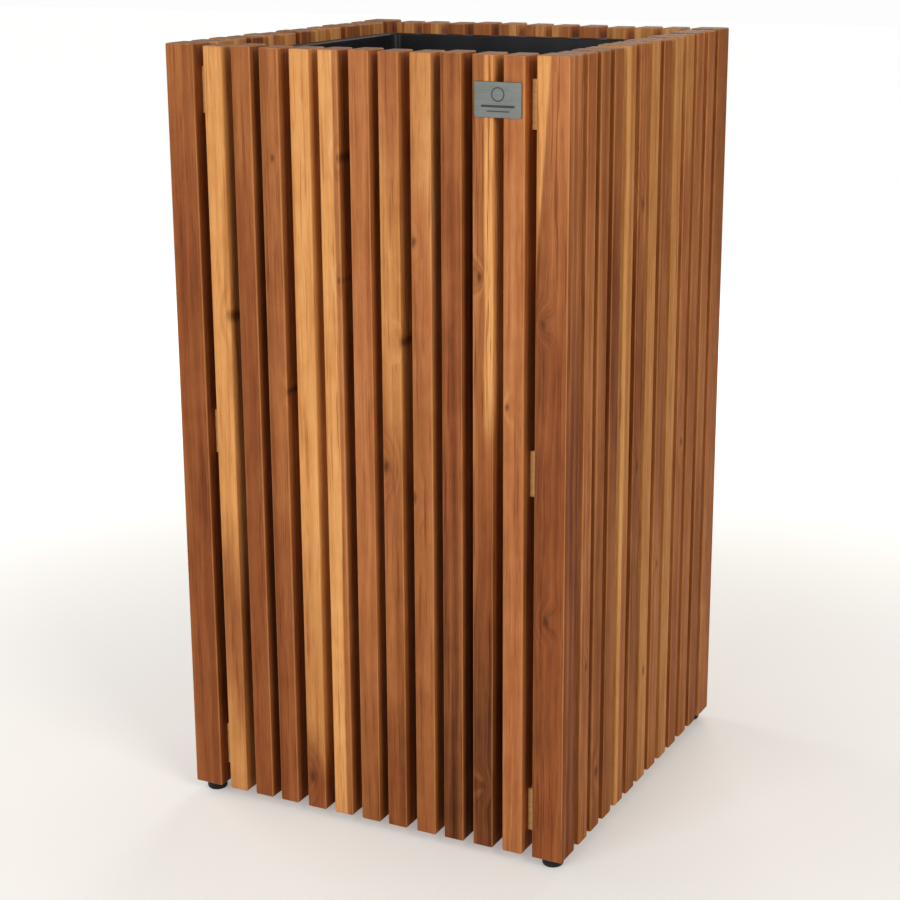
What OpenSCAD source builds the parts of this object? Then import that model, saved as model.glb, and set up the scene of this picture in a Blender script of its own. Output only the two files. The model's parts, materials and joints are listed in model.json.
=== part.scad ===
// Square slatted garden planter with a lift-out plastic liner.
// X runs along the front, Y from the front face (at -Y) to the rear, Z up.
// The origin lies on the ground, under the middle of the box.

/* [Box] */
// Outside width, along the front
box_w = 400; // [320:1:600]
// Outside depth, from front face to rear face
box_d = 400; // [320:1:600]
// Length of the posts and slats
slat_l = 730; // [420:1:1000]

/* [Posts and slats] */
// Section of the square corner posts; the slats are as deep as the posts
post_s = 30; // [24:1:40]
// Width of a slat, seen from outside
slat_w = 20; // [12:1:25]
// Slats between the posts, on the front and on the rear
slats_across = 11; // [5:1:11]
// Slats between the posts, on the left and on the right
slats_deep = 11; // [5:1:11]
// Chamfer that eases the long edges of posts and slats
edge_c = 1.2; // [0.4:0.1:2.5]

/* [Rails] */
// Thickness of a rail, which is also the gap between a corner post and its nearest slat
rail_t = 10; // [8:0.5:14]
// Height of a rail
rail_h = 42; // [34:1:60]
// From the slat tops down to the top rails
rail_drop = 21; // [12:1:60]
// From the slat bottoms up to the bottom rails
rail_rise = 20; // [8:1:80]
// How far a side rail laps onto a corner post
rail_lap = 16; // [12:1:22]

/* [Liner] */
// Thickness of the liner's wall and floor
liner_wall = 3; // [2:0.5:5]
// How much the liner narrows to its floor, on each side
liner_draft = 10; // [2:1:25]
// Radius of the liner's upright corners
liner_r = 12; // [8:1:30]
// Height of the rim that stands on the top rails
rim_h = 9; // [5:1:16]
// Bevel on the inner edge of the rim
rim_bevel = 3; // [1:0.5:5]
// Room between the rim and the slats
rim_clear = 1; // [0.5:0.5:4]
// Room between the liner's wall and the rails
wall_clear = 2; // [1:0.5:6]

/* [Liner support] */
// Width of a support batten
batten_w = 30; // [20:1:60]
// Height of a support batten
batten_h = 20; // [12:1:40]
// Distance between the two battens, centre to centre
batten_spread = 160; // [80:1:200]
// Room between the liner's floor and the battens
batten_clear = 0.3; // [0.2:0.1:2]

/* [Feet] */
// Diameter of a foot
foot_d = 20; // [16:1:28]
// Height of a foot
foot_h = 10; // [8:1:25]
// Radius of a foot's lower edge
foot_r = 3; // [1:0.5:3.5]

/* [Nameplate] */
// Width of the blank nameplate
plate_w = 44; // [30:1:60]
// Height of the blank nameplate
plate_h = 30; // [15:1:60]
// Thickness of the blank nameplate
plate_t = 0.8; // [0.5:0.1:2]
// From the slat tops down to the nameplate
plate_drop = 23; // [5:1:200]
// Thickness of the adhesive pads behind the nameplate
pad_t = 0.5; // [0.3:0.1:1]
// How far a pad stays inside the edges of the nameplate and the slat
pad_inset = 1; // [0.5:0.5:3]

/* [Wood screws] */
// Diameter of the shank
screw_d = 3.5; // [3:0.1:4]
// Diameter of the countersunk head
head_d = 7; // [6:0.1:7.5]
// Length of a screw, head included
screw_l = 26; // [20:1:30]
// Radial room between a screw and its hole
screw_clear = 0.05; // [0.05:0.05:0.2]
// How far the corner screws lie above the middle of a rail
corner_screw_up = 12; // [9:1:13]

/* [Hidden] */
$fn = 48;
EPS = 0.01;
SIDES = ["front", "right", "rear", "left"];
CORNERS = ["front_left", "front_right", "rear_right", "rear_left"];

// Heights, counted from the ground
wood_z = foot_h;
top_z = wood_z + slat_l;
top_rail_z = top_z - rail_drop - rail_h;
middle_rail_z = wood_z + (slat_l - rail_h) / 2;
bottom_rail_z = wood_z + rail_rise;
RAIL_LEVELS = [bottom_rail_z, middle_rail_z, top_rail_z];

// Liner, which stands on the top rails by its rim
rim_z = top_rail_z + rail_h;
liner_top_z = rim_z + rim_h;
liner_floor_z = middle_rail_z + rail_h + batten_h + batten_clear;
rim_inset = post_s + rim_clear;
wall_inset = post_s + rail_t + wall_clear;

// Screws
head_h = (head_d - screw_d) / 2;
foot_sink = head_h + 1;
foot_sink_d = head_d + 1;

// Wood tones, from light sapwood to dark heartwood
HONEY = "#dda76a";
PEACH = "#cf9a72";
TAN = "#b9794d";
BROWN = "#9c6238";
FRONT_TONES = [HONEY, BROWN, TAN, HONEY, HONEY, PEACH, TAN, PEACH, BROWN, PEACH, TAN];
OTHER_TONES = [TAN, HONEY, BROWN, PEACH, TAN, BROWN, HONEY, TAN, PEACH, BROWN, HONEY];

// What differs from side to side
function side_index(side) = search([side], SIDES)[0];
function is_across(side) = side == "front" || side == "rear";
function side_len(side) = is_across(side) ? box_w : box_d;
function side_out(side) = (is_across(side) ? box_d : box_w) / 2;
function slat_count(side) = is_across(side) ? slats_across : slats_deep;
function slat_room(side) = side_len(side) - 2 * (post_s + rail_t);
function slat_pitch(side) = (slat_room(side) - slat_w) / (slat_count(side) - 1);
function slat_x(side, i) = -(slat_room(side) - slat_w) / 2 + (i - 1) * slat_pitch(side);
function slat_tone(side, i) = side == "front" ? FRONT_TONES[i - 1]
    : OTHER_TONES[(i + 3 * side_index(side)) % len(OTHER_TONES)];
function slat_name(side, i) = str(side, "_slat_", i < 10 ? "0" : "", i);
function rails_name(side) = str(side, "_rails");
function post_name(corner) = str("post_", corner);
function rail_half(side) = side_len(side) / 2 - post_s + (is_across(side) ? -rail_t : rail_lap);

// Puts its children on one side of the box. There, X runs along that side with 0 in its
// middle, Y goes inwards from the outer face, and Z is the height above the ground.
module on_side(side) {
    rotate([0, 0, 90 * side_index(side)])
        translate([0, -side_out(side), 0])
            children();
}

// Puts its children at the middle of one corner post.
module at_corner(corner) {
    x_sign = corner == "front_left" || corner == "rear_left" ? -1 : 1;
    y_sign = corner == "front_left" || corner == "front_right" ? -1 : 1;
    translate([x_sign * (box_w - post_s) / 2, y_sign * (box_d - post_s) / 2, 0])
        children();
}

// An upright bar of the posts' length with chamfered long edges, centred on X and Y.
module bar(w, d) {
    translate([0, 0, wood_z])
        linear_extrude(slat_l)
            polygon([
                [-w / 2 + edge_c, -d / 2], [w / 2 - edge_c, -d / 2],
                [w / 2, -d / 2 + edge_c], [w / 2, d / 2 - edge_c],
                [w / 2 - edge_c, d / 2], [-w / 2 + edge_c, d / 2],
                [-w / 2, d / 2 - edge_c], [-w / 2, -d / 2 + edge_c]
            ]);
}

// A countersunk wood screw along +Z, with its head's flat face at 0.
// The room makes the same shape into the hole that takes it.
module screw(room = 0) {
    cylinder(h = head_h, r1 = head_d / 2 + room, r2 = screw_d / 2 + room);
    cylinder(h = screw_l + room, r = screw_d / 2 + room);
    if (room > 0)
        translate([0, 0, -1])
            cylinder(h = 1 + EPS, r = head_d / 2 + room);
}

// Screws of one side that hold its slats, driven outwards through the rails.
module slat_screw_set(side, first, last, room = 0) {
    for (z = RAIL_LEVELS, i = [first:last])
        translate([slat_x(side, i), post_s + rail_t, z + rail_h / 2])
            rotate([90, 0, 0])
                screw(room);
}

// Screws that hold a side's rails to the corner posts that they lap onto.
module post_screw_set(side, room = 0) {
    for (z = RAIL_LEVELS, end = [-1, 1])
        translate([end * (rail_half(side) - rail_lap / 2), post_s + rail_t, z + rail_h / 2])
            rotate([90, 0, 0])
                screw(room);
}

// Screws in the corner gaps, through a side rail and into the end of the rail it meets.
module corner_screw_set(side, room = 0) {
    for (z = RAIL_LEVELS, end = [-1, 1])
        translate([end * (side_len(side) / 2 - post_s - rail_t / 2), post_s,
                   z + rail_h / 2 + corner_screw_up])
            rotate([-90, 0, 0])
                screw(room);
}

// All the screws that are not in slats: the left and right rails carry them.
module frame_screw_sets(room = 0) {
    for (side = ["right", "left"])
        on_side(side) {
            post_screw_set(side, room);
            corner_screw_set(side, room);
        }
}

module foot_screw(room = 0) {
    translate([0, 0, foot_sink - head_h])
        screw(room);
}

module slat(side, i) {
    color(slat_tone(side, i))
        on_side(side)
            difference() {
                translate([slat_x(side, i), post_s / 2, 0])
                    bar(slat_w, post_s);
                slat_screw_set(side, i, i, screw_clear);
            }
}

module post(corner) {
    color(TAN)
        difference() {
            at_corner(corner)
                bar(post_s, post_s);
            at_corner(corner)
                foot_screw(screw_clear);
            frame_screw_sets(screw_clear);
        }
}

module rails(side) {
    color(PEACH)
        difference() {
            on_side(side)
                for (z = RAIL_LEVELS)
                    translate([-rail_half(side), post_s, z])
                        cube([2 * rail_half(side), rail_t, rail_h]);
            on_side(side)
                slat_screw_set(side, 1, slat_count(side), screw_clear);
            frame_screw_sets(screw_clear);
        }
}

// A flat slab with rounded corners that stays inset from the outside of the box.
module slab(inset, r, h) {
    linear_extrude(h)
        hull()
            for (x = [-1, 1], y = [-1, 1])
                translate([x * (box_w / 2 - inset - r), y * (box_d / 2 - inset - r)])
                    circle(r);
}

// The tapered block that the liner's wall follows, taken in all round.
module liner_block(inset, z0, z1) {
    draft_per_z = liner_draft / (liner_top_z - liner_floor_z);
    hull() {
        translate([0, 0, z0])
            slab(wall_inset + inset + draft_per_z * (liner_top_z - z0), liner_r - inset, EPS);
        translate([0, 0, z1 - EPS])
            slab(wall_inset + inset + draft_per_z * (liner_top_z - z1), liner_r - inset, EPS);
    }
}

module liner() {
    color("#2a2b2e")
        difference() {
            union() {
                liner_block(0, liner_floor_z, liner_top_z);
                translate([0, 0, liner_top_z - liner_wall])
                    slab(rim_inset, liner_r, liner_wall);
                translate([0, 0, rim_z])
                    difference() {
                        slab(rim_inset, liner_r, rim_h);
                        translate([0, 0, -EPS])
                            slab(rim_inset + liner_wall, liner_r - liner_wall, rim_h);
                    }
            }
            liner_block(liner_wall, liner_floor_z + liner_wall, liner_top_z + 1);
            hull() {
                translate([0, 0, liner_top_z - rim_bevel])
                    slab(wall_inset + liner_wall, liner_r - liner_wall, EPS);
                translate([0, 0, liner_top_z])
                    slab(wall_inset + liner_wall - rim_bevel, liner_r - liner_wall + rim_bevel, EPS);
            }
        }
}

module liner_battens() {
    batten_l = box_w - 2 * (post_s + rim_clear);
    color(BROWN)
        for (y = [-1, 1])
            translate([-batten_l / 2, y * batten_spread / 2 - batten_w / 2, middle_rail_z + rail_h])
                cube([batten_l, batten_w, batten_h]);
}

module foot_profile() {
    translate([0, foot_r])
        square([foot_d / 2, foot_h - foot_r]);
    square([foot_d / 2 - foot_r, foot_h]);
    translate([foot_d / 2 - foot_r, foot_r])
        circle(foot_r);
}

module foot() {
    difference() {
        rotate_extrude()
            foot_profile();
        translate([0, 0, -EPS])
            cylinder(h = foot_sink - head_h + 2 * EPS, d = foot_sink_d);
        foot_screw(screw_clear);
    }
}

module feet() {
    color("#1b1b1d")
        for (corner = CORNERS)
            at_corner(corner)
                foot();
}

module foot_screws() {
    color("silver")
        for (corner = CORNERS)
            at_corner(corner)
                foot_screw();
}

module slat_screws() {
    color("silver")
        for (side = SIDES)
            on_side(side)
                slat_screw_set(side, 1, slat_count(side));
}

module frame_screws() {
    color("silver")
        frame_screw_sets();
}

// The nameplate lies over the gap between the last two slats of the front.
plate_x = slat_x("front", slats_across) - slat_pitch("front") / 2;
plate_z = top_z - plate_drop - plate_h;

module nameplate() {
    color("#9aa3a6")
        on_side("front")
            translate([plate_x - plate_w / 2, -pad_t - plate_t, plate_z])
                cube([plate_w, plate_t, plate_h]);
}

module nameplate_pads() {
    gap = slat_pitch("front") - slat_w;
    pad_w = min(slat_w, (plate_w - gap) / 2) - 2 * pad_inset;
    color("white")
        on_side("front")
            for (end = [-1, 1])
                translate([plate_x + end * (gap / 2 + pad_inset + pad_w / 2) - pad_w / 2,
                           -pad_t, plate_z + pad_inset])
                    cube([pad_w, pad_t, plate_h - 2 * pad_inset]);
}

for (side = SIDES, i = [1:slat_count(side)])
    slat(side, i);
for (corner = CORNERS)
    post(corner);
for (side = SIDES)
    rails(side);
liner();
liner_battens();
feet();
foot_screws();
slat_screws();
frame_screws();
nameplate();
nameplate_pads();
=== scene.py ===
"""Slatted hardwood planter with a lift-out liner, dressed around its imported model.

Positions of the parts come from the frame. The posts, slats, battens, liner, feet, screws and
nameplate are modelled here with eased edges, recesses and roundings. The rails and the pads behind
the nameplate keep the model's own solids and only get new materials.
"""
import json
import logging
import math
import random
from dataclasses import dataclass, field
from enum import Enum
from typing import Any, Iterable, Sequence

import bmesh
import bpy
from mathutils import Matrix, Vector


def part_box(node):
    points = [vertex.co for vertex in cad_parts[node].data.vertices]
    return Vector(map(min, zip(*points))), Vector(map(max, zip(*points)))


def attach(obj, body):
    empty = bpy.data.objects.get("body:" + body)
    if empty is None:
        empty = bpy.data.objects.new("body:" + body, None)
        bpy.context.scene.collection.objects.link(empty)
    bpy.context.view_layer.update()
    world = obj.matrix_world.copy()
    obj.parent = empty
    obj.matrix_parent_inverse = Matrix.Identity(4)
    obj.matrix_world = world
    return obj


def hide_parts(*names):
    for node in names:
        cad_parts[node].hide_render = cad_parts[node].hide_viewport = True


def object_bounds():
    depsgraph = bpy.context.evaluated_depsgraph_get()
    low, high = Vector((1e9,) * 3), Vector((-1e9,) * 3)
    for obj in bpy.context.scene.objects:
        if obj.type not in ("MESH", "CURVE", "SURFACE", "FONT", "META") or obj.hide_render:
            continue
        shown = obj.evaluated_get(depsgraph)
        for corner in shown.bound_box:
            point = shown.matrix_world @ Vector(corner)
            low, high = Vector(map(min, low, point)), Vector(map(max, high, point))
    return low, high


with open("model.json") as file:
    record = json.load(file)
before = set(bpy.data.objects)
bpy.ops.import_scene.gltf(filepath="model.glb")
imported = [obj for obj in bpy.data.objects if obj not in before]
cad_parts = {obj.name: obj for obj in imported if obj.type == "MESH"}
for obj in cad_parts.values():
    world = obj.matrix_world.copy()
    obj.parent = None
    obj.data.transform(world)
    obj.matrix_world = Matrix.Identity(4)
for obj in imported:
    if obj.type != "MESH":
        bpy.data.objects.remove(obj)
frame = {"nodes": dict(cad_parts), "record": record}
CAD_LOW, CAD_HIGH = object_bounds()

MM = 0.001
MM_PER_METRE = 1000.0
BOX_BODY = "box"
LINER_BODY = "liner"
# how far apart two places may be and still count as the same, in metres
SAME_POINT = 1e-7
WELD = 1e-6
SAME_LEVEL = 1e-5
NEARLY = 1e-4
# where the seeds of each kind of board start
SIDE_SEEDS, POST_SEEDS, RAIL_SEEDS, BATTEN_SEED, WOOD_SEEDS = 20, 120, 200, 301, 1000
log = logging.getLogger("planter")

Socket = bpy.types.NodeSocket
Material = bpy.types.Material
Piece = bpy.types.Object
Mesh = bmesh.types.BMesh
Vert, Edge, Face = bmesh.types.BMVert, bmesh.types.BMEdge, bmesh.types.BMFace


# ---------------- colours and boards


def linear(code: str) -> tuple[float, float, float, float]:
    """Turns a hex colour into linear RGBA.

    Args:
        code: The colour as written for a screen, such as "#dda76a".

    Returns:
        The linear colour, fully opaque.
    """
    parts = [int(code[i:i + 2], 16) / 255 for i in (1, 3, 5)]
    red, green, blue = [((c + 0.055) / 1.055) ** 2.4 if c > 0.04 else c / 12.92 for c in parts]
    return (red, green, blue, 1.0)


class Tone(Enum):
    """Colours of acacia: the dark streaks, the ground and the light streaks."""

    HONEY = ("#bc7c40", "#dc9c5c", "#eab272")
    AMBER = ("#aa6c38", "#c98a4e", "#dca066")
    PEACH = ("#965830", "#b47040", "#ca8a56")
    TAN = ("#824a24", "#a26234", "#b87644")
    RUSSET = ("#6c3818", "#905028", "#a66638")
    BROWN = ("#4c2810", "#723e1c", "#8e542c")


HONEY, AMBER, PEACH, TAN, RUSSET, BROWN = Tone


class Turn(Enum):
    """Which way a board's outer face looks, as a turn about Z in degrees."""

    FRONT = 0
    RIGHT = 90
    REAR = 180
    LEFT = 270


@dataclass(frozen=True)
class Knot:
    """A knot in a board: its place across and along the board, as shares, and its radius in mm."""

    across: float
    along: float
    radius: float = 5.0


@dataclass(frozen=True)
class Change:
    """Another tone from one share of the board's length upwards."""

    above: float
    tone: Tone
    spread: float = 0.08


@dataclass(frozen=True)
class Cut:
    """How one board is cut from the log.

    The tone at the foot may change further up. Streak is the growth rings' contrast, and drift is
    how far the tone wanders along the board. A positive lean makes the right side lighter, as
    seen from outside. The sapwood runs along one edge, at the right where its share is positive,
    only above one share of the length, and narrows downwards by the taper in mm over the length.
    """

    tone: Tone
    streak: float = 0.35
    drift: float = 0.3
    changes: tuple[Change, ...] = ()
    lean: float = 0.0
    sapwood: float = 0.0
    sap_above: float = -1.0
    sap_taper: float = 0.0
    knots: tuple[Knot, ...] = ()


FRONT_CUTS = (
    Cut(AMBER, 0.25, 0.3, (Change(0.13, TAN), Change(0.34, HONEY)), -0.2,
        knots=(Knot(1.0, 0.66, 5.0),)),
    Cut(RUSSET, 0.25, 0.2, (Change(0.82, TAN),)),
    Cut(RUSSET, 0.4, 0.3, (Change(0.4, TAN),), 0.15,
        knots=(Knot(0.55, 0.865, 3.0), Knot(1.0, 0.57, 3.5))),
    Cut(RUSSET, 0.25, 0.2, (Change(0.11, AMBER, 0.05), Change(0.35, HONEY)),
        knots=(Knot(0.35, 0.045, 7.0),)),
    Cut(TAN, 0.4, 0.3, sapwood=-0.7, knots=(Knot(0.9, 0.72, 3.0), Knot(1.0, 0.87, 4.0))),
    Cut(TAN, 0.25, 0.3, (Change(0.3, PEACH, 0.15),), -0.15),
    Cut(RUSSET, 0.35, 0.3, (Change(0.15, TAN), Change(0.55, AMBER),
                                Change(0.86, PEACH)), -0.1,
        knots=(Knot(0.1, 0.49, 6.0), Knot(1.0, 0.65, 4.5))),
    Cut(TAN, 0.4, 0.4, (Change(0.6, PEACH), Change(0.86, AMBER)), 0.3,
        knots=(Knot(0.05, 0.455, 5.0), Knot(0.15, 0.775, 4.5))),
    Cut(BROWN, 0.6, 0.3, (Change(0.33, RUSSET, 0.2), Change(0.85, TAN)), 0.1),
    Cut(BROWN, 0.9, 0.3, (Change(0.28, RUSSET, 0.12), Change(0.5, TAN)),
        sapwood=0.42, sap_above=0.6, knots=(Knot(0.5, 0.085, 4.0), Knot(0.35, 0.74, 3.5))),
    Cut(PEACH, 0.3, 0.3, knots=(Knot(0.2, 0.585, 3.0),)),
)
RIGHT_CUTS = (
    Cut(PEACH, 0.4, 0.3, knots=(Knot(0.6, 0.24, 4.0),)),
    Cut(TAN, 0.4, 0.3, lean=0.1, knots=(Knot(0.5, 0.08, 5.0),)),
    Cut(TAN, 0.5, 0.3, (Change(0.45, RUSSET), Change(0.8, TAN))),
    Cut(PEACH, 0.4, 0.3, (Change(0.4, AMBER),), sapwood=-0.3),
    Cut(TAN, 0.7, 0.6, (Change(0.4, RUSSET), Change(0.74, PEACH)),
        knots=(Knot(0.5, 0.46, 6.0), Knot(0.6, 0.8, 6.0))),
    Cut(AMBER, 0.4, 0.3, knots=(Knot(0.5, 0.16, 5.0),)),
    Cut(PEACH, 0.5, 0.4, (Change(0.4, TAN),), knots=(Knot(0.5, 0.3, 4.0),)),
    Cut(AMBER, 0.5, 0.3),
    Cut(PEACH, 0.5, 0.3, (Change(0.85, AMBER),), knots=(Knot(0.6, 0.45, 5.0),)),
    Cut(PEACH, 0.4, 0.3, lean=0.2),
    Cut(TAN, 0.5, 0.3, (Change(0.4, PEACH),)),
)
LISTED_CUTS = {Turn.FRONT: FRONT_CUTS, Turn.RIGHT: RIGHT_CUTS}
POST_CUTS = {
    "post_front_left": Cut(RUSSET, 0.3, 0.3, (Change(0.9, TAN),), -0.4),
    "post_front_right": Cut(RUSSET, 0.6, 0.5, (Change(0.72, TAN, 0.15), Change(0.9, PEACH)), 0.2,
                            sapwood=-0.44, sap_above=0.62, sap_taper=42.0,
                            knots=(Knot(0.25, 0.69, 4.0), Knot(0.4, 0.32, 4.0))),
    "post_rear_right": Cut(PEACH, 0.4, 0.4, (Change(0.7, TAN),)),
    "post_rear_left": Cut(TAN, 0.5, 0.4),
}


def drawn_cut(seed: int) -> Cut:
    """Draws the cut of a board on a side that has no list of its own.

    Args:
        seed: A whole number that is different for every board.

    Returns:
        The board's cut, always the same for the same seed.
    """
    draw = random.Random(seed)
    tones = [HONEY, AMBER, AMBER, PEACH, PEACH, TAN, RUSSET]
    knots: tuple[Knot, ...] = ()
    if draw.random() < 0.4:
        knots = (Knot(draw.uniform(0.1, 0.9), draw.uniform(0.05, 0.9), draw.uniform(2.5, 6.0)),)
    changes: tuple[Change, ...] = ()
    if draw.random() < 0.6:
        changes = (Change(draw.uniform(0.15, 0.6), draw.choice(tones), 0.15),)
    return Cut(draw.choice(tones), draw.uniform(0.25, 0.6), draw.uniform(0.2, 0.5), changes,
               draw.uniform(-0.2, 0.2), draw.choice([0.0, 0.0, 0.4, -0.4]), knots=knots)


# ---------------- shader expressions


@dataclass(frozen=True)
class Pattern:
    """A noise: how fast it changes per mm across and along the fibres, and how fine it is."""

    across: float
    along: float
    detail: float = 2.0
    roughness: float = 0.5


SWAY = Pattern(0.012, 0.0032, 3.0)
RIPPLE = Pattern(0.05, 0.014)
KNOT_EDGE = Pattern(0.25, 0.12)
DRIFT = Pattern(0.03, 0.0045)
CLOUD = Pattern(0.07, 0.022, 3.0, 0.6)
FIGURE = Pattern(0.03, 0.045)
FIBRE = Pattern(1.3, 0.02, 3.0, 0.6)
PORE = Pattern(1.9, 0.045, 1.0)
STAIN = Pattern(0.12, 0.006, 3.0, 0.55)
LINE = Pattern(0.42, 0.008, 2.0, 0.6)
SPECK = Pattern(2.2, 2.2)
FLOW_MARKS = Pattern(0.05, 0.006)


class Value:
    """A shader value that adds a Math node for each operator in an expression."""

    def __init__(self, graph: "Graph", socket: Socket) -> None:
        """Wraps one output socket of a graph."""
        self.graph = graph
        self.socket = socket

    def _math(self, operation: str, *terms: Any) -> "Value":
        """Adds one Math node and wraps its result."""
        made = self.graph.node("Math", dict(enumerate(terms)), operation=operation)
        return Value(self.graph, made.outputs[0])

    def __add__(self, other: Any) -> "Value":
        """self + other."""
        return self._math("ADD", self, other)

    __radd__ = __add__

    def __sub__(self, other: Any) -> "Value":
        """self - other."""
        return self._math("SUBTRACT", self, other)

    def __rsub__(self, other: Any) -> "Value":
        """other - self."""
        return self._math("SUBTRACT", other, self)

    def __mul__(self, other: Any) -> "Value":
        """self * other."""
        return self._math("MULTIPLY", self, other)

    def __truediv__(self, other: Any) -> "Value":
        """self / other."""
        return self._math("DIVIDE", self, other)

    def __abs__(self) -> "Value":
        """The value without its sign."""
        return self._math("ABSOLUTE", self)

    def root(self) -> "Value":
        """The square root."""
        return self._math("SQRT", self)

    def most(self, other: Any) -> "Value":
        """The larger of two values."""
        return self._math("MAXIMUM", self, other)

    def step(self, low: float, high: float) -> "Value":
        """Rises smoothly from 0 at low to 1 at high, or falls if low is the higher."""
        made = self.graph.node("MapRange", {"Value": self, "From Min": low, "From Max": high},
                               interpolation_type="SMOOTHSTEP")
        return Value(self.graph, made.outputs[0])


class Graph:
    """The node tree of one material, with a Principled shader at its end."""

    def __init__(self, name: str, constants: dict[str, Any]) -> None:
        """Starts a material.

        Args:
            name: The material's name.
            constants: Values set on the Principled shader's own sockets.
        """
        self.material = bpy.data.materials.new(name)
        self.material.use_nodes = True
        self.tree = self.material.node_tree
        self.shader = self.tree.nodes["Principled BSDF"]
        for socket, value in constants.items():
            self.shader.inputs[socket].default_value = value

    def node(self, kind: str, sockets: dict[Any, Any], **settings: Any) -> bpy.types.Node:
        """Adds any node.

        Args:
            kind: The node's type, without the words that all of them start with.
            sockets: A value or a link for each input socket, by name or number.
            settings: Its own settings; "stops" are a colour ramp's stops.

        Returns:
            The new node.
        """
        made = self.tree.nodes.new("ShaderNode" + kind)
        for key, value in settings.items():
            if key == "stops":
                ramp = made.color_ramp
                while len(ramp.elements) < len(value):
                    ramp.elements.new(0.5)
                for element, (place, colour) in zip(ramp.elements, value):
                    element.position = place
                    element.color = colour
            else:
                setattr(made, key, value)
        for key, value in sockets.items():
            if isinstance(value, Value):
                value = value.socket
            if isinstance(value, Socket):
                self.tree.links.new(value, made.inputs[key])
            else:
                made.inputs[key].default_value = value
        return made

    def vector(self, operation: str, *terms: Any) -> Socket:
        """Adds a Vector Math node and returns its vector."""
        made = self.node("VectorMath", dict(enumerate(terms)), operation=operation)
        return made.outputs[0]

    def scaled(self, vector: Socket, by: Sequence[float]) -> Socket:
        """A vector times a constant on each axis."""
        return self.vector("MULTIPLY", vector, tuple(by))

    def parts(self, vector: Socket) -> tuple[Value, Value, Value]:
        """The X, Y and Z of a vector."""
        outs = self.node("SeparateXYZ", {0: vector}).outputs
        return Value(self, outs[0]), Value(self, outs[1]), Value(self, outs[2])

    def noise(self, vector: Socket, scale: float = 1.0, detail: float = 2.0,
              roughness: float = 0.5) -> Value:
        """Smooth noise from 0 to 1 over space."""
        made = self.node("TexNoise", {"Vector": vector, "Scale": scale, "Detail": detail,
                                      "Roughness": roughness}, noise_dimensions="3D")
        return Value(self, made.outputs[0])

    def drawn(self, vector: Socket, pattern: Pattern) -> Value:
        """One of the patterns, from 0 to 1."""
        stretched = self.scaled(vector, (pattern.across, pattern.across, pattern.along))
        return self.noise(stretched, detail=pattern.detail, roughness=pattern.roughness)

    def bands(self, along: Value, scale: float, detail: float = 2.0,
              roughness: float = 0.5) -> Value:
        """Uneven bands from 0 to 1 along one value."""
        made = self.node("TexNoise", {"W": along, "Scale": scale, "Detail": detail,
                                      "Roughness": roughness}, noise_dimensions="1D")
        return Value(self, made.outputs[0])

    def blend(self, share: Any, first: Any, second: Any, mode: str = "MIX") -> Socket:
        """Mixes two colours.

        Args:
            share: How much of the second colour shows.
            first: The first colour, as a value or a link.
            second: The second colour.
            mode: The way they are mixed.

        Returns:
            The mixed colour.
        """
        made = self.node("Mix", {0: share, 6: first, 7: second}, data_type="RGBA",
                         blend_type=mode)
        return made.outputs[2]

    def dyed(self, share: Any, colour: Any, dye: Any) -> Socket:
        """A colour that takes up a share of a dye."""
        return self.blend(share, colour, self.blend(1.0, colour, dye, "MULTIPLY"))

    def grey(self, value: Value) -> Socket:
        """A value as a grey colour, for mixing by multiplication."""
        return self.node("CombineColor", {0: value, 1: value, 2: value}).outputs[0]

    def place(self) -> Socket:
        """The point on the piece, in millimetres."""
        point = self.node("TexCoord", {}).outputs["Object"]
        return self.scaled(point, (MM_PER_METRE, MM_PER_METRE, MM_PER_METRE))

    def facing(self, axis: Sequence[float]) -> Value:
        """How squarely the surface faces along an axis of the piece, from 0 to 1."""
        normal = self.node("TexCoord", {}).outputs["Normal"]
        made = self.node("VectorMath", {0: normal, 1: tuple(axis)}, operation="DOT_PRODUCT")
        return abs(Value(self, made.outputs["Value"]))

    def glow(self, strength: Value) -> None:
        """Adds a glow that lights nothing else, so that a floor stays pale far away."""
        ray = self.node("LightPath", {}).outputs["Is Camera Ray"]
        light = self.node("Emission", {"Strength": Value(self, ray) * strength})
        both = self.node("AddShader", {0: self.shader.outputs[0], 1: light.outputs[0]})
        self.tree.links.new(both.outputs[0], self.tree.nodes["Material Output"].inputs["Surface"])

    def finish(self, colour: Any, roughness: Any, height: Value | None = None,
               depth: float = 0.1, strength: float = 0.5) -> Material:
        """Links colour, roughness and bump to the shader.

        Args:
            colour: The base colour.
            roughness: The roughness.
            height: The bump's height from 0 to 1, if there is one.
            depth: How deep the bump goes, in millimetres.
            strength: The bump's strength.

        Returns:
            The finished material.
        """
        self.tree.links.new(colour, self.shader.inputs["Base Color"])
        self.tree.links.new(roughness.socket, self.shader.inputs["Roughness"])
        if height is not None:
            bump = self.node("Bump", {"Strength": strength, "Distance": depth * MM,
                                      "Height": height})
            self.tree.links.new(bump.outputs[0], self.shader.inputs["Normal"])
        return self.material


# ---------------- finishes


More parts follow.
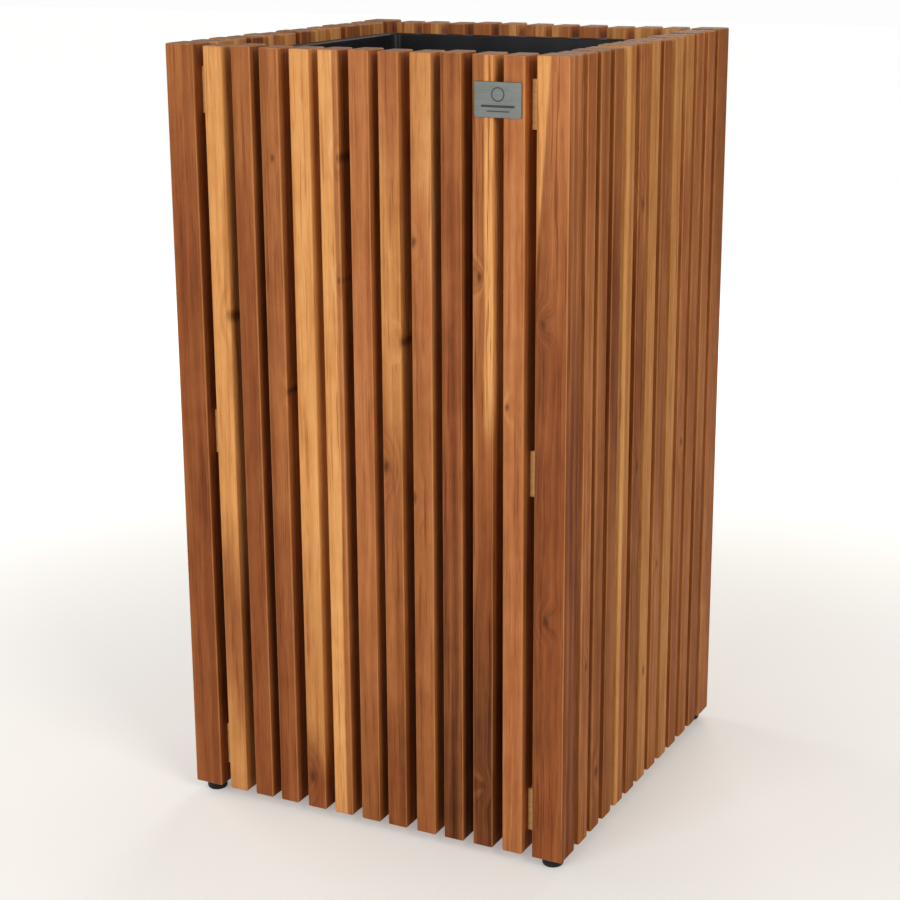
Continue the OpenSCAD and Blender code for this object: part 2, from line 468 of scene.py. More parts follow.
@dataclass(frozen=True)
class OiledWood:
    """Oiled acacia, with growth rings, fibres, pores, knots and end grain."""

    ring_pitch: float = 4.5
    sway_width: float = 16.0
    ripple_width: float = 3.0
    figure_weights: tuple[float, ...] = (0.0, 0.15, 0.4)
    pith_aside: tuple[float, float] = (15, 60)
    pith_behind: tuple[float, float] = (30, 90)
    stain_dye: str = "#dcc4aa"
    line_dye: str = "#bd9470"
    pore_dye: str = "#7a5a44"
    knot_colour: str = "#4a2410"
    end_colours: tuple[str, str] = ("#9a6c4e", "#c0947a")

    def material(self, name: str, cut: Cut, low: Vector, high: Vector, turn: float,
                 seed: int, grain: Vector = Vector((0, 0, 1))) -> Material:
        """Makes the wood of one board.

        Args:
            name: The material's name.
            cut: How the board is cut from the log.
            low: The board's lowest corner, in metres.
            high: The board's highest corner.
            turn: The turn about Z that brings the front side's frame to this board, in degrees.
            seed: A whole number that is different for every board.
            grain: The way the fibres run.

        Returns:
            The board's material.
        """
        draw = random.Random(WOOD_SEEDS + seed)
        g = Graph(name, {"Specular IOR Level": 0.16})
        centre = (low + high) / 2 * MM_PER_METRE
        size = (high - low) * MM_PER_METRE
        length = max(size)
        width = size.x if abs(math.sin(math.radians(turn))) < 0.5 else size.y
        if grain.z < 0.5:
            width = size.z
        point = g.vector("SUBTRACT", g.place(), tuple(centre))
        upright = g.node("Mapping", {"Vector": point, "Rotation": self._to_upright(grain, turn)},
                         vector_type="POINT").outputs[0]
        x, y, z = g.parts(upright)
        shift = [draw.uniform(-900, 900) for _ in range(3)]
        loose = g.vector("ADD", upright, tuple(shift))

        # growth rings round a pith that lies outside the board
        sway = (g.drawn(loose, SWAY) - 0.5) * self.sway_width
        ripple = (g.drawn(loose, RIPPLE) - 0.5) * self.ripple_width
        swirl: Any = 0.0
        knot_dark: Any = None
        for knot in cut.knots:
            away_x = x - (knot.across - 0.5) * width
            away_z = (z - (knot.along - 0.5) * length) * 0.6
            away = (away_x * away_x + away_z * away_z).root()
            swirl = away.step(knot.radius * 4.0, 0.0) * knot.radius * 1.6 + swirl
            frayed = away + g.drawn(loose, KNOT_EDGE) * knot.radius * 0.8
            core = frayed.step(knot.radius * 1.5, knot.radius * 0.4)
            knot_dark = core if knot_dark is None else knot_dark.most(core)
        pith_x = draw.choice([-1, 1]) * draw.uniform(*self.pith_aside)
        pith_y = draw.choice([-1, 1]) * draw.uniform(*self.pith_behind)
        off_x = x - pith_x + sway + ripple
        off_y = y - pith_y + sway * 0.5
        radius = (off_x * off_x + off_y * off_y).root() + swirl
        rings = g.bands(radius, 1.0 / self.ring_pitch, 4.0, 0.62)
        band = rings.step(0.22, 0.78)

        # colour: rings, a slow drift along the board, other tones further up and a sapwood edge
        drift = g.drawn(loose, DRIFT) - 0.5
        cloud = g.drawn(loose, CLOUD) - 0.5
        figure = g.drawn(loose, FIGURE) - 0.5
        share = (band - 0.5) * cut.streak + drift * (cut.drift * 2.2) + cloud * 0.7
        share = share + figure * draw.choice(self.figure_weights) + 0.5
        share = share + x * (cut.lean / width)
        colour = self._tone(g, cut.tone, share)
        climb = z / length + 0.5 + x * 0.002 + sway * 0.006
        for change in cut.changes:
            reached = climb.step(change.above - change.spread, change.above + change.spread)
            colour = g.blend(reached, colour, self._tone(g, change.tone, share))
        if cut.sapwood:
            side = 1 if cut.sapwood > 0 else -1
            edge = (0.5 - abs(cut.sapwood)) * width
            inward = x * side + sway * 0.35 + ripple * 0.5 - (1.0 - climb) * cut.sap_taper
            sap = inward.step(edge - 1.5, edge + 1.5)
            sap = sap * (climb + ripple * 0.02).step(cut.sap_above - 0.08, cut.sap_above + 0.04)
            colour = g.blend(sap, colour, self._tone(g, HONEY, share + 0.1))

        # fibres and pores run straight; stains and dark lines bend a little with the grain
        fibre = g.drawn(loose, FIBRE)
        pore = g.drawn(loose, PORE).step(0.62, 0.74)
        bent = g.vector("ADD", loose, g.scaled(g.grey(ripple), (1.0, 1.0, 0.0)))
        stain = g.drawn(bent, STAIN).step(0.42, 0.72)
        line = g.drawn(bent, LINE).step(0.54, 0.7) * (0.35 + cut.streak * 0.6)
        colour = g.dyed(stain * 0.6, colour, linear(self.stain_dye))
        colour = g.dyed(line, colour, linear(self.line_dye))
        colour = g.blend(1.0, colour, g.grey(fibre * 0.3 + 0.87), "MULTIPLY")
        colour = g.dyed(pore * 0.32, colour, linear(self.pore_dye))
        if knot_dark is not None:
            colour = g.blend(knot_dark * 0.75, colour, linear(self.knot_colour))

        # rounded edges are painted lighter: a painted highlight along the arrises, where they
        # would catch the light
        squarest = g.facing((1, 0, 0)).most(g.facing((0, 1, 0))).most(g.facing((0, 0, 1)))
        painted_edge_highlight = squarest.step(0.985, 0.88) * 0.35
        colour = g.blend(painted_edge_highlight, colour, self._tone(g, AMBER, share + 0.3))

        # end grain takes up more oil and shows the pores as specks
        end = g.facing(grain).step(0.6, 0.85)
        speck = g.drawn(loose, SPECK)
        ends = g.blend(band * 0.6 + speck * 0.4, *[linear(code) for code in self.end_colours])
        colour = g.blend(end, colour, ends)

        roughness = 0.62 - band * 0.08 + pore * 0.12 + end * 0.12
        height = fibre * 0.5 + band * 0.2 - pore * 0.6
        return g.finish(colour, roughness, height, depth=0.12, strength=0.45)

    @staticmethod
    def _to_upright(grain: Vector, turn: float) -> tuple[float, float, float]:
        """The rotation that stands a board up with its outer face to the front."""
        if grain.z > 0.5:
            return (0.0, 0.0, -math.radians(turn))
        if abs(grain.x) > 0.5:
            return (0.0, math.radians(90), 0.0)
        return (math.radians(90), 0.0, 0.0)

    @staticmethod
    def _tone(g: Graph, tone: Tone, share: Value) -> Socket:
        """One tone's ramp from its dark streaks to its light ones."""
        dark, ground, light = [linear(code) for code in tone.value]
        stops = [(0.0, dark), (0.5, ground), (1.0, light)]
        return g.node("ValToRGB", {0: share}, stops=stops).outputs[0]


@dataclass(frozen=True)
class MouldedPlastic:
    """Dark moulded plastic with a fine spark-eroded texture and a little dust."""

    colour: str = "#1f2024"
    dusty: str = "#292a2f"
    roughness: float = 0.29
    texture_pitch: float = 0.9

    def material(self, name: str) -> Material:
        """Makes the plastic."""
        g = Graph(name, {"Specular IOR Level": 0.25})
        point = g.place()
        cloud = g.noise(point, 0.02, 3.0)
        grit = g.noise(point, 1.0 / self.texture_pitch, 2.0, 0.6)
        flow = g.drawn(point, FLOW_MARKS)
        dust = (cloud * 0.6 + flow * 0.4).step(0.35, 0.75)
        colour = g.blend(dust, linear(self.colour), linear(self.dusty))
        rough = (grit - 0.5) * 0.12 + cloud * 0.12 + (self.roughness - 0.06)
        rough = rough + g.facing((0.0, 0.0, 1.0)).step(0.3, 0.9) * 0.3
        return g.finish(colour, rough, grit, depth=0.05, strength=0.25)


@dataclass(frozen=True)
class BrushedMetal:
    """Metal with fine brushing along one axis."""

    colour: str = "#aeb6b8"
    worn: str = "#7f8688"
    roughness: float = 0.42
    stretch: tuple[float, float, float] = (0.04, 3.0, 6.0)

    def material(self, name: str) -> Material:
        """Makes the metal."""
        g = Graph(name, {"Metallic": 1.0})
        point = g.place()
        lines = g.noise(g.scaled(point, self.stretch), 1.0, 3.0, 0.7)
        cloud = g.noise(point, 0.06, 2.0)
        bright = (lines * 0.7 + cloud * 0.3).step(0.3, 0.75)
        colour = g.blend(bright, linear(self.worn), linear(self.colour))
        rough = self.roughness + (lines - 0.5) * 0.25 + (cloud - 0.5) * 0.1
        return g.finish(colour, rough, lines, depth=0.03, strength=0.3)


# ---------------- mesh helpers


def new_piece(name: str, mesh: Mesh, body: str, slot: str,
              replaced: Iterable[str] = ()) -> Piece:
    """Turns a finished bmesh into a piece of the planter.

    Args:
        name: The piece's name.
        mesh: Its shape, in place, in metres.
        body: The body that it moves with.
        slot: The record's material slot; not used.
        replaced: The model's nodes that it stands for.

    Returns:
        The new object.
    """
    data = bpy.data.meshes.new(name)
    mesh.to_mesh(data)
    mesh.free()
    piece = bpy.data.objects.new(name, data)
    bpy.context.scene.collection.objects.link(piece)
    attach(piece, body)
    nodes = list(replaced)
    if nodes:
        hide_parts(*nodes)
    return piece


def dress(piece: Piece, material: Material) -> None:
    """Gives a piece its one material."""
    piece.data.materials.clear()
    piece.data.materials.append(material)


def block(low: Vector, high: Vector) -> Mesh:
    """A plain block between two corners."""
    bm = bmesh.new()
    bmesh.ops.create_cube(bm, size=1.0)
    size = high - low
    bmesh.ops.scale(bm, vec=size, verts=bm.verts)
    bmesh.ops.translate(bm, vec=(low + high) / 2, verts=bm.verts)
    return bm


def ease(bm: Mesh, edges: Iterable[Edge], radius: float, segments: int) -> None:
    """Rounds edges and smooths the new faces."""
    made = bmesh.ops.bevel(bm, geom=list(edges), offset=radius, offset_type="OFFSET",
                           segments=segments, profile=0.5, affect="EDGES", clamp_overlap=True,
                           material=-1)
    for face in made["faces"]:
        face.smooth = True


def level(edge: Edge, at: float, axis: int = 2) -> bool:
    """Whether both ends of an edge lie at one place along an axis."""
    return all(abs(vert.co[axis] - at) < SAME_LEVEL for vert in edge.verts)


def grow(bm: Mesh, faces: list[Face], keep: bool = False) -> tuple[list[Face], list[Vert]]:
    """Extrudes faces as one region.

    Args:
        bm: The bmesh.
        faces: The faces to extrude.
        keep: Whether the old faces stay, as the back of a solid.

    Returns:
        The new faces and their points.
    """
    made = bmesh.ops.extrude_face_region(bm, geom=faces)["geom"]
    if not keep:
        bmesh.ops.delete(bm, geom=[f for f in faces if f.is_valid], context="FACES_ONLY")
    return ([f for f in made if isinstance(f, Face)], [v for v in made if isinstance(v, Vert)])


def sink(bm: Mesh, face: Face, by: float) -> list[Vert]:
    """Extrudes one face, moves it along Z and returns its points."""
    bottom = bmesh.ops.extrude_discrete_faces(bm, faces=[face])["faces"][0]
    bmesh.ops.translate(bm, vec=(0, 0, by), verts=bottom.verts)
    return list(bottom.verts)


def slot_of(node: str) -> str:
    """The record's material slot of a node."""
    for row in frame["record"]["subparts"]:
        if row["node"] == node:
            return row["material_slot"]
    raise KeyError(node)


def islands(node: str) -> list[list[Vector]]:
    """The points of each separate solid in a node."""
    bm = bmesh.new()
    bm.from_mesh(frame["nodes"][node].data)
    bmesh.ops.remove_doubles(bm, verts=bm.verts, dist=WELD)
    left = set(bm.verts)
    found = []
    while left:
        stack = [left.pop()]
        points = []
        while stack:
            vert = stack.pop()
            points.append(vert.co.copy())
            for edge in vert.link_edges:
                other = edge.other_vert(vert)
                if other in left:
                    left.discard(other)
                    stack.append(other)
        found.append(points)
    bm.free()
    return found


def corners(points: Sequence[Vector]) -> tuple[Vector, Vector]:
    """The lowest and highest corner of some points."""
    low = Vector([min(p[i] for p in points) for i in range(3)])
    high = Vector([max(p[i] for p in points) for i in range(3)])
    return low, high


# ---------------- the sub-assemblies


@dataclass
class Boards:
    """The upright slats and posts and the battens, each with its own wood."""

    edge: float = 1.5 * MM
    edge_segments: int = 3
    lean: float = 0.7 * MM
    uneven: float = 1.2 * MM
    end_reach: float = 10 * MM
    wood: OiledWood = field(default_factory=OiledWood)

    def upright(self, node: str, cut: Cut, turn: Turn, seed: int,
                steady: bool = False) -> Piece:
        """Makes one slat or post.

        Args:
            node: The model's node that it stands for.
            cut: How it is cut from the log.
            turn: Which way its outer face looks.
            seed: A whole number that is different for every board.
            steady: Whether it stays exactly where it is, as a corner post does.

        Returns:
            The piece.
        """
        draw = random.Random(seed)
        low, high = [Vector(c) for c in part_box(node)]
        drop = 0.0 if steady else draw.uniform(0.0, self.uneven)
        bm = block(low, high - Vector((0, 0, drop)))
        if not steady:
            along = Vector((1, 0, 0)) if turn in (Turn.FRONT, Turn.REAR) else Vector((0, 1, 0))
            for end in (low.z, high.z):
                move = along * draw.uniform(-self.lean, self.lean)
                near = [v for v in bm.verts if abs(v.co.z - end) < self.end_reach]
                bmesh.ops.translate(bm, vec=move, verts=near)
        ease(bm, bm.edges, self.edge * draw.uniform(0.8, 1.2), self.edge_segments)
        piece = new_piece(node + "_board", bm, BOX_BODY, slot_of(node), [node])
        dress(piece, self.wood.material(node + "_wood", cut, low, high, turn.value, seed))
        return piece

    def battens(self) -> Piece:
        """Makes the two battens that lie under the liner."""
        node = "liner_battens"
        bm = bmesh.new()
        for points in islands(node):
            low, high = corners(points)
            one = block(low, high)
            ease(one, one.edges, self.edge, self.edge_segments)
            join(bm, one)
        piece = new_piece("support_battens", bm, BOX_BODY, slot_of(node), [node])
        low, high = [Vector(c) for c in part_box(node)]
        cut, grain = Cut(TAN, 0.6, 0.4), Vector((1, 0, 0))
        wood = self.wood.material("batten_wood", cut, low, high, 0, BATTEN_SEED, grain)
        dress(piece, wood)
        return piece

    def rails(self, side: str, seed: int) -> None:
        """Dresses the model's own rails of one side, whose shape is right as it is."""
        node = side + "_rails"
        low, high = [Vector(c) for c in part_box(node)]
        grain = Vector((1, 0, 0)) if side in ("front", "rear") else Vector((0, 1, 0))
        sawn = OiledWood(end_colours=("#d89c5c", "#f0bf80"))
        cut = Cut(HONEY, 0.5, 0.5)
        wood = sawn.material(node + "_wood", cut, low, high, 0, seed, grain)
        dress(frame["nodes"][node], wood)


def join(bm: Mesh, other: Mesh, place: Matrix | None = None) -> None:
    """Adds a copy of one bmesh to another, and frees the one that was added.

    Args:
        bm: The bmesh that grows.
        other: The bmesh that is added.
        place: Where it goes.
    """
    data = bpy.data.meshes.new("joined")
    other.to_mesh(data)
    other.free()
    if place is not None:
        data.transform(place)
    bm.from_mesh(data)
    bpy.data.meshes.remove(data)


@dataclass
class Liner:
    """The moulded liner: a tapered box with a rim that turns down onto the rails."""

    wall: float = 3 * MM
    draft: float = 10 * MM
    corner: float = 12 * MM
    corner_segments: int = 8
    rail: float = 10 * MM
    wall_gap: float = 2 * MM
    lip: float = 1.4 * MM
    lip_foot: float = 0.6 * MM
    rim_inside: float = 8 * MM
    rim_outside: float = 4 * MM
    floor_round: float = 8 * MM
    cavity_round: float = 0.7
    sharp_angle: float = 0.6
    plastic: MouldedPlastic = field(default_factory=MouldedPlastic)

    def build(self) -> Piece:
        """Models the liner from its floor to its rim."""
        low, high = [Vector(c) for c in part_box("liner")]
        _, rails_high = [Vector(c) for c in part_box("left_rails")]
        rim_under = rails_high.z
        half = Vector((high.x, high.y))
        wall_half = half - Vector((1, 1)) * (self.rail + self.wall_gap - 1 * MM)
        bm = block(Vector((-wall_half.x, -wall_half.y, low.z)),
                   Vector((wall_half.x, wall_half.y, high.z)))
        foot = [v for v in bm.verts if v.co.z < (low.z + high.z) / 2]
        shrink = Vector((1 - self.draft / wall_half.x, 1 - self.draft / wall_half.y, 1))
        bmesh.ops.scale(bm, vec=shrink, verts=foot)
        upright = [e for e in bm.edges if e.verts[0].co.z != e.verts[1].co.z]
        ease(bm, upright, self.corner, self.corner_segments)
        top = max(bm.faces, key=lambda f: f.calc_center_median().z)
        self._hollow(bm, top, low, high)
        self._rim(bm, half, rim_under, high.z)
        self._soften(bm, low, high, rim_under)
        bmesh.ops.recalc_face_normals(bm, faces=bm.faces)
        piece = new_piece("liner_shell", bm, LINER_BODY, slot_of("liner"), ["liner"])
        dress(piece, self.plastic.material("liner_plastic"))
        return piece

    def _hollow(self, bm: Mesh, top: Face, low: Vector, high: Vector) -> None:
        """Sinks the cavity into the top face and leaves the wall and the floor."""
        bmesh.ops.inset_region(bm, faces=[top], thickness=self.wall, use_even_offset=True)
        depth = high.z - low.z - self.wall
        bottom = sink(bm, top, -depth)
        inner = max(v.co.x for v in bottom)
        shrink = 1 - self.draft * depth / (high.z - low.z) / inner
        bmesh.ops.scale(bm, vec=(shrink, shrink, 1), verts=bottom)

    def _rim(self, bm: Mesh, half: Vector, under: float, top: float) -> None:
        """Grows the flange out of the wall's top and turns its edge down onto the rails."""
        plate = top - self.wall
        outer = [f for f in bm.faces if abs(f.normal.z) < 0.5 and self._is_outer(f)]
        geom = list({x for f in outer for x in [f, *f.edges, *f.verts]})
        bmesh.ops.bisect_plane(bm, geom=geom, dist=WELD, plane_co=(0, 0, plate),
                               plane_no=(0, 0, 1))
        bm.normal_update()
        ring = [f for f in bm.faces if abs(f.normal.z) < 0.5 and self._is_outer(f)
                and f.calc_center_median().z > plate]
        for reach in (half.x - self.wall, half.x):
            ring, verts = grow(bm, ring)
            now = max(v.co.x for v in verts)
            bmesh.ops.scale(bm, vec=(reach / now, reach / now, 1), verts=verts)
        bm.normal_update()
        skirt = [f for f in bm.faces if f.normal.z < -0.5
                 and abs(f.calc_center_median().z - plate) < NEARLY
                 and self._beyond(f, half.x - self.wall)]
        _, verts = grow(bm, skirt)
        bmesh.ops.translate(bm, vec=(0, 0, under - plate), verts=verts)

    @staticmethod
    def _is_outer(face: Face) -> bool:
        """Whether a wall face looks away from the middle."""
        centre = face.calc_center_median()
        return face.normal.x * centre.x + face.normal.y * centre.y > 0

    @staticmethod
    def _beyond(face: Face, reach: float) -> bool:
        """Whether a flat rim face lies wholly in the outer strip of the flange."""
        centre = face.calc_center_median()
        return max(abs(centre.x), abs(centre.y)) > reach - NEARLY

    def _soften(self, bm: Mesh, low: Vector, high: Vector, under: float) -> None:
        """Rounds the rim's edges, the cavity's floor and the outer foot."""
        bm.normal_update()

        def sharp(z: float) -> list[Edge]:
            """The sharp edges that lie at one height."""
            return [e for e in bm.edges if e.is_valid and level(e, z) and len(e.link_faces) == 2
                    and e.calc_face_angle(0.0) > self.sharp_angle]

        def reach(edge: Edge) -> float:
            """How far out an edge comes, along X or Y."""
            return max(abs(c) for v in edge.verts for c in v.co.xy)

        ease(bm, sharp(low.z + self.wall), self.floor_round * self.cavity_round, 4)
        ease(bm, sharp(low.z), self.floor_round, 4)
        inner = [e for e in sharp(high.z) if reach(e) < high.x - self.rim_inside]
        ease(bm, inner, self.lip, 4)
        outer = [e for e in sharp(high.z) if reach(e) > high.x - self.rim_outside]
        ease(bm, outer, self.lip, 3)
        ease(bm, sharp(under), self.lip_foot, 2)


@dataclass
class Feet:
    """The four round plastic feet with their sunken screw holes."""

    segments: int = 40
    lower_round: float = 3 * MM
    upper_round: float = 0.5 * MM
    sink_radius: float = 4 * MM
    sink_depth: float = 2.6 * MM
    plastic: MouldedPlastic = field(
        default_factory=lambda: MouldedPlastic(colour="#17171a", dusty="#26262a", roughness=0.34)
    )

    def build(self) -> Piece:
        """Models the four feet."""
        bm = bmesh.new()
        for points in islands("feet"):
            low, high = corners(points)
            one = bmesh.new()
            radius = (high.x - low.x) / 2
            bmesh.ops.create_cone(one, cap_ends=True, segments=self.segments, radius1=radius,
                                  radius2=radius, depth=high.z - low.z)
            bmesh.ops.translate(one, vec=(low + high) / 2, verts=one.verts)
            under = min(one.faces, key=lambda f: f.calc_center_median().z)
            rim = list(under.edges)
            bmesh.ops.inset_region(one, faces=[under], thickness=radius - self.sink_radius)
            sink(one, under, self.sink_depth)
            ease(one, rim, self.lower_round, 5)
            ease(one, [e for e in one.edges if level(e, high.z)], self.upper_round, 2)
            for face in one.faces:
                if abs(face.normal.z) < 0.5:
                    face.smooth = True
            join(bm, one)
        piece = new_piece("round_feet", bm, BOX_BODY, slot_of("feet"), ["feet"])
        dress(piece, self.plastic.material("foot_plastic"))
        return piece


@dataclass
class Screws:
    """Countersunk wood screws with a cross recess in the head."""

    segments: int = 12
    recess_long: float = 2.1 * MM
    recess_short: float = 0.7 * MM
    recess_depth: float = 1.5 * MM
    recess_taper: float = 0.55
    point: float = 4 * MM
    tip_radius: float = 0.2 * MM
    metal: BrushedMetal = field(
        default_factory=lambda: BrushedMetal(colour="#cfc8b8", worn="#9a927f", roughness=0.34,
                                             stretch=(1.5, 1.5, 1.5))
    )

    def model(self, head_r: float, shank_r: float, length: float) -> Mesh:
        """Models one screw along +Z with its head's face at 0.

        Args:
            head_r: The head's radius.
            shank_r: The shank's radius.
            length: The whole length.

        Returns:
            The screw.
        """
        bm = bmesh.new()
        profile = [(self.recess_long, 0), (head_r, 0), (shank_r, head_r - shank_r),
                   (shank_r, length - self.point), (self.tip_radius, length)]
        verts = [bm.verts.new((r, 0, z)) for r, z in profile]
        edges = [bm.edges.new(pair) for pair in zip(verts, verts[1:])]
        bmesh.ops.spin(bm, geom=verts + edges, cent=(0, 0, 0), axis=(0, 0, 1), angle=math.tau,
                       steps=self.segments, use_merge=True)
        bmesh.ops.remove_doubles(bm, verts=bm.verts, dist=SAME_POINT)
        mouth = [v for v in bm.verts
                 if abs(v.co.z) < SAME_POINT and v.co.xy.length < head_r * 0.9]
        for vert in mouth:
            angle = math.atan2(vert.co.y, vert.co.x)
            share = abs(math.cos(2 * angle)) ** 3
            reach = self.recess_short + (self.recess_long - self.recess_short) * share
            vert.co.xy = vert.co.xy.normalized() * reach
        holes = bmesh.ops.holes_fill(bm, edges=[e for e in bm.edges if e.is_boundary], sides=0)
        recess = min(holes["faces"], key=lambda f: f.calc_center_median().z)
        bottom = sink(bm, recess, self.recess_depth)
        bmesh.ops.scale(bm, vec=(self.recess_taper, self.recess_taper, 1), verts=bottom)
        bmesh.ops.recalc_face_normals(bm, faces=bm.faces)
        for face in bm.faces:
            face.smooth = abs(face.normal.z) < 0.3
        return bm

    def build(self, node: str, name: str) -> Piece:
        """Models every screw of one node where the model has it.

        Args:
            node: The model's node.
            name: The piece's name.

        Returns:
            The piece.
        """
        bm = bmesh.new()
        for points in islands(node):
            low, high = corners(points)
            size = high - low
            axis = max(range(3), key=lambda i: size[i])
            across = (axis + 1) % 3
            middle = (low + high) / 2
            spread = {end: max(abs(p[across] - middle[across]) for p in points
                               if abs(p[axis] - end[axis]) < SAME_LEVEL)
                      for end in (low.freeze(), high.freeze())}
            head_end = max(spread, key=spread.get)
            way = Vector((0, 0, 0))
            way[axis] = 1.0 if head_end == low else -1.0
            start = middle.copy()
            start[axis] = head_end[axis]
            one = self.model(spread[head_end], min(spread.values()), size[axis])
            place = Matrix.Translation(start) @ way.to_track_quat("Z", "Y").to_matrix().to_4x4()
            join(bm, one, place)
        piece = new_piece(name, bm, BOX_BODY, slot_of(node), [node])
        dress(piece, self.metal.material(name + "_metal"))
        return piece


@dataclass
class Nameplate:
    """The blank brushed plate, with a plain ring and two rules in place of a mark."""

    corner: float = 1.2 * MM
    edge: float = 0.2 * MM
    inlay: float = 0.06 * MM
    ring_radius: float = 6.2 * MM
    rules: tuple[tuple[float, float, float], ...] = (
        (5.4 * MM, 15.5 * MM, 1.0 * MM), (9.6 * MM, 10.5 * MM, 0.5 * MM))
    ring_above: float = 4.5 * MM
    line: float = 1.1 * MM
    steel: BrushedMetal = field(
        default_factory=lambda: BrushedMetal(colour="#70736f", worn="#555855", roughness=0.42)
    )

    def build(self) -> list[Piece]:
        """Models the plate and its filled engraving."""
        low, high = [Vector(c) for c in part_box("nameplate")]
        face = low.y + self.inlay
        bm = block(Vector((low.x, face, low.z)), high)
        through = [e for e in bm.edges if abs(e.verts[0].co.y - e.verts[1].co.y) > self.inlay]
        ease(bm, through, self.corner, 4)
        bm.normal_update()
        ease(bm, [e for e in bm.edges if level(e, face, 1)], self.edge, 2)
        plate = new_piece("steel_plate", bm, BOX_BODY, slot_of("nameplate"), ["nameplate"])
        dress(plate, self.steel.material("plate_steel"))
        return [plate, self._engraving(low, high)]

    def _engraving(self, low: Vector, high: Vector) -> Piece:
        """A ring above a long rule and a short one, filled with dark enamel."""
        bm = bmesh.new()
        centre = (low + high) / 2
        ring = bmesh.new()
        bmesh.ops.create_circle(ring, cap_ends=True, segments=40, radius=self.ring_radius)
        disc = list(ring.faces)
        band = bmesh.ops.inset_region(ring, faces=disc, thickness=self.line, use_boundary=True)
        bmesh.ops.delete(ring, geom=disc, context="FACES_ONLY")
        _, verts = grow(ring, band["faces"], keep=True)
        bmesh.ops.translate(ring, vec=(0, 0, self.inlay * 2), verts=verts)
        bmesh.ops.recalc_face_normals(ring, faces=ring.faces)
        back = low.y + self.inlay * 2
        stand = Matrix.Translation(Vector((centre.x, back, centre.z + self.ring_above)))
        join(bm, ring, stand @ Matrix.Rotation(math.radians(90), 4, "X"))
        for drop, half_width, half_line in self.rules:
            height = centre.z - drop
            rule = block(Vector((centre.x - half_width, low.y, height - half_line)),
                         Vector((centre.x + half_width, back, height + half_line)))
            join(bm, rule)
        piece = new_piece("plate_engraving", bm, BOX_BODY, slot_of("nameplate"))
        enamel = MouldedPlastic(colour="#2a2d2e", dusty="#3a3d3e", roughness=0.5)
        dress(piece, enamel.material("engraving_enamel"))
        return piece


# ---------------- studio


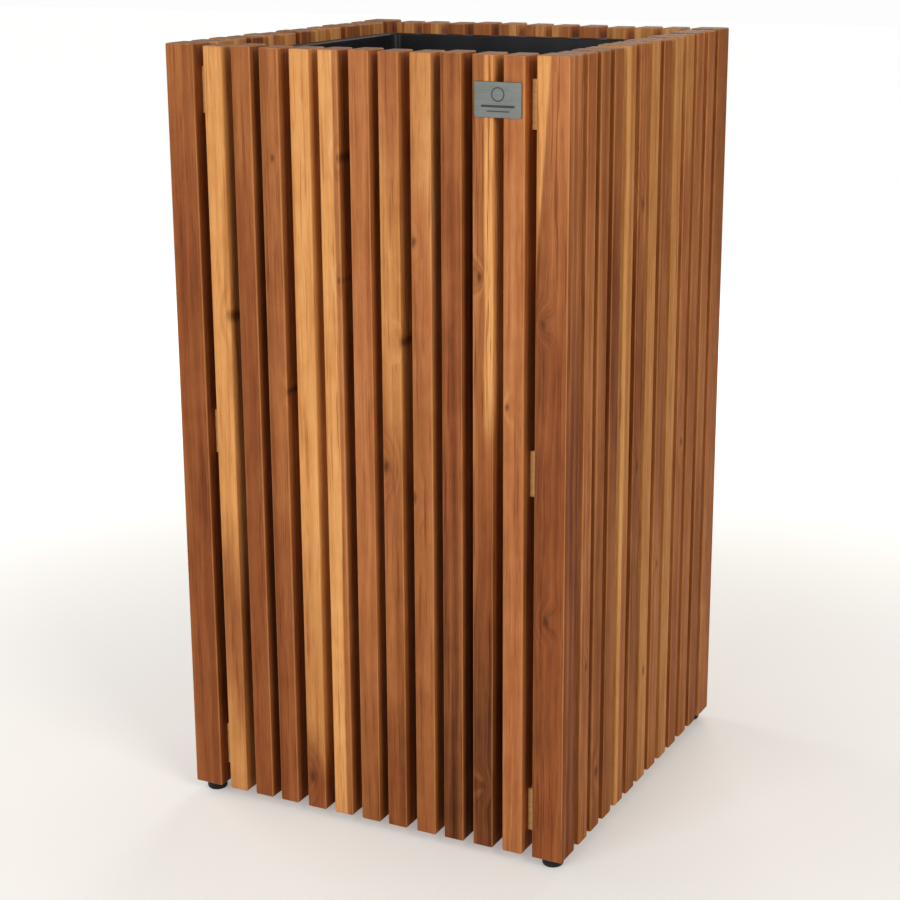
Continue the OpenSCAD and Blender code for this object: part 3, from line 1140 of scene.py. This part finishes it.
@dataclass(frozen=True)
class Studio:
    """The floor, the soft lights and the camera."""

    eye: tuple[float, float, float] = (0.831, -1.671, 0.862)
    heading: float = 26.8
    tilt_down: float = 15.4
    roll: float = -0.31
    lens: float = 77.0
    sensor: float = 36.0
    rise: float = -0.02
    ambient: float = 0.23
    near_glow: float = 0.24
    far_glow: float = 0.80
    glow_from: float = 350.0
    glow_to: float = 1900.0
    floor_half: float = 12.0
    lights: tuple[tuple[str, float, float, float, float, float, str], ...] = (
        ("key", -8.0, 12.0, 3.1, 1.6, 22.5, "#ffffff"),
        ("right", 58.0, 22.0, 3.1, 1.4, 20.0, "#fff6e6"),
        ("back", 186.0, 26.0, 3.1, 1.8, 18.0, "#fffaf2"),
        ("left", 262.0, 24.0, 3.1, 1.6, 12.0, "#fffaf2"),
    )

    def camera(self) -> None:
        """Sets the camera in front of the planter's right front corner."""
        data = bpy.data.cameras.new("camera")
        data.lens = self.lens
        data.sensor_width = self.sensor
        data.shift_y = self.rise
        seen = bpy.data.objects.new("camera", data)
        seen.location = self.eye
        aim = Matrix.Rotation(math.radians(self.heading), 3, "Z")
        aim = aim @ Matrix.Rotation(math.radians(90 - self.tilt_down), 3, "X")
        aim = aim @ Matrix.Rotation(math.radians(self.roll), 3, "Z")
        seen.rotation_euler = aim.to_euler()
        bpy.context.scene.collection.objects.link(seen)
        bpy.context.scene.camera = seen

    def light(self, name: str, place: Vector, size: float, watts: float, tint: str,
              aim: Vector) -> None:
        """Adds one soft square light.

        Args:
            name: Its name.
            place: Where it stands.
            size: The length of its side.
            watts: Its power.
            tint: Its colour.
            aim: The point that it looks at.
        """
        data = bpy.data.lights.new(name, "AREA")
        data.color = linear(tint)[:3]
        data.shape = "SQUARE"
        data.size = size
        data.energy = watts
        lamp = bpy.data.objects.new(name, data)
        lamp.location = place
        lamp.rotation_mode = "QUATERNION"
        lamp.rotation_quaternion = (aim - place).to_track_quat("-Z", "Y")
        bpy.context.scene.collection.objects.link(lamp)

    def world(self) -> None:
        """Lights everything softly and shows a pale backdrop."""
        world = bpy.data.worlds.new("studio")
        bpy.context.scene.world = world
        world.use_nodes = True
        nodes, links = world.node_tree.nodes, world.node_tree.links
        back = nodes["Background"]
        back.inputs["Strength"].default_value = self.ambient
        seen = nodes.new("ShaderNodeBackground")
        seen.inputs["Color"].default_value = (0.98, 0.98, 0.98, 1.0)
        back.inputs["Color"].default_value = (1.0, 0.99, 0.97, 1.0)
        ray = nodes.new("ShaderNodeLightPath")
        mix = nodes.new("ShaderNodeMixShader")
        links.new(ray.outputs["Is Camera Ray"], mix.inputs[0])
        links.new(back.outputs[0], mix.inputs[1])
        links.new(seen.outputs[0], mix.inputs[2])
        links.new(mix.outputs[0], nodes["World Output"].inputs["Surface"])

    def floor(self) -> None:
        """Lays the plain pale floor."""
        bm = bmesh.new()
        bmesh.ops.create_grid(bm, x_segments=1, y_segments=1, size=self.floor_half)
        data = bpy.data.meshes.new("floor")
        bm.to_mesh(data)
        bm.free()
        floor = bpy.data.objects.new("floor", data)
        bpy.context.scene.collection.objects.link(floor)
        g = Graph("floor_paint", {"Specular IOR Level": 0.1})
        cloud = g.noise(g.place(), 0.002, 2.0)
        g.finish(g.blend(cloud, linear("#f4f4f2"), linear("#f0f0ef")), cloud * 0.05 + 0.85)
        x, y, _ = g.parts(g.place())
        away = (x * x + y * y).root().step(self.glow_from, self.glow_to)
        g.glow(away * (self.far_glow - self.near_glow) + self.near_glow)
        data.materials.append(g.material)

    def build(self) -> None:
        """Sets up the whole studio."""
        aim = (CAD_LOW + CAD_HIGH) / 2
        reach = CAD_HIGH.z
        self.camera()
        self.floor()
        self.world()
        for name, turn, lift, away, size, watts, tint in self.lights:
            turn, lift = math.radians(turn), math.radians(lift)
            way = Vector((math.sin(turn) * math.cos(lift), -math.cos(turn) * math.cos(lift),
                          math.sin(lift)))
            self.light(name, aim + way * away * reach, size * reach, watts, tint, aim)
        bpy.context.scene.view_settings.view_transform = "Standard"


def pieces(boards: Boards) -> Iterable[Piece]:
    """Builds the planter's pieces one after another.

    Args:
        boards: The maker of the slats, the posts and the battens.

    Yields:
        Each piece as soon as it is built.
    """
    for order, turn in enumerate(Turn):
        cuts = LISTED_CUTS.get(turn)
        nodes = sorted(n for n in frame["nodes"] if n.startswith(turn.name.lower() + "_slat_"))
        for index, node in enumerate(nodes):
            seed = SIDE_SEEDS * (order + 1) + index
            cut = cuts[index % len(cuts)] if cuts else drawn_cut(seed)
            yield boards.upright(node, cut, turn, seed)
    for index, (node, cut) in enumerate(POST_CUTS.items()):
        yield boards.upright(node, cut, Turn.FRONT, POST_SEEDS + index, steady=True)
    yield boards.battens()
    yield Liner().build()
    yield Feet().build()
    for kind in ("slat", "frame", "foot"):
        yield Screws().build(kind + "_screws", kind + "_screw_set")
    yield from Nameplate().build()


def main() -> None:
    """Builds the planter piece by piece, dresses the kept nodes and sets up the studio."""
    boards = Boards()
    for piece in pieces(boards):
        log.info("%s", piece.name)
    for index, turn in enumerate(Turn):
        boards.rails(turn.name.lower(), RAIL_SEEDS + index)
    pads = MouldedPlastic(colour="#c8c8c4", dusty="#dcdcd8", roughness=0.8)
    dress(frame["nodes"]["nameplate_pads"], pads.material("pad_foam"))
    Studio().build()


if __name__ == "__main__":
    logging.basicConfig(level=logging.INFO)
    main()
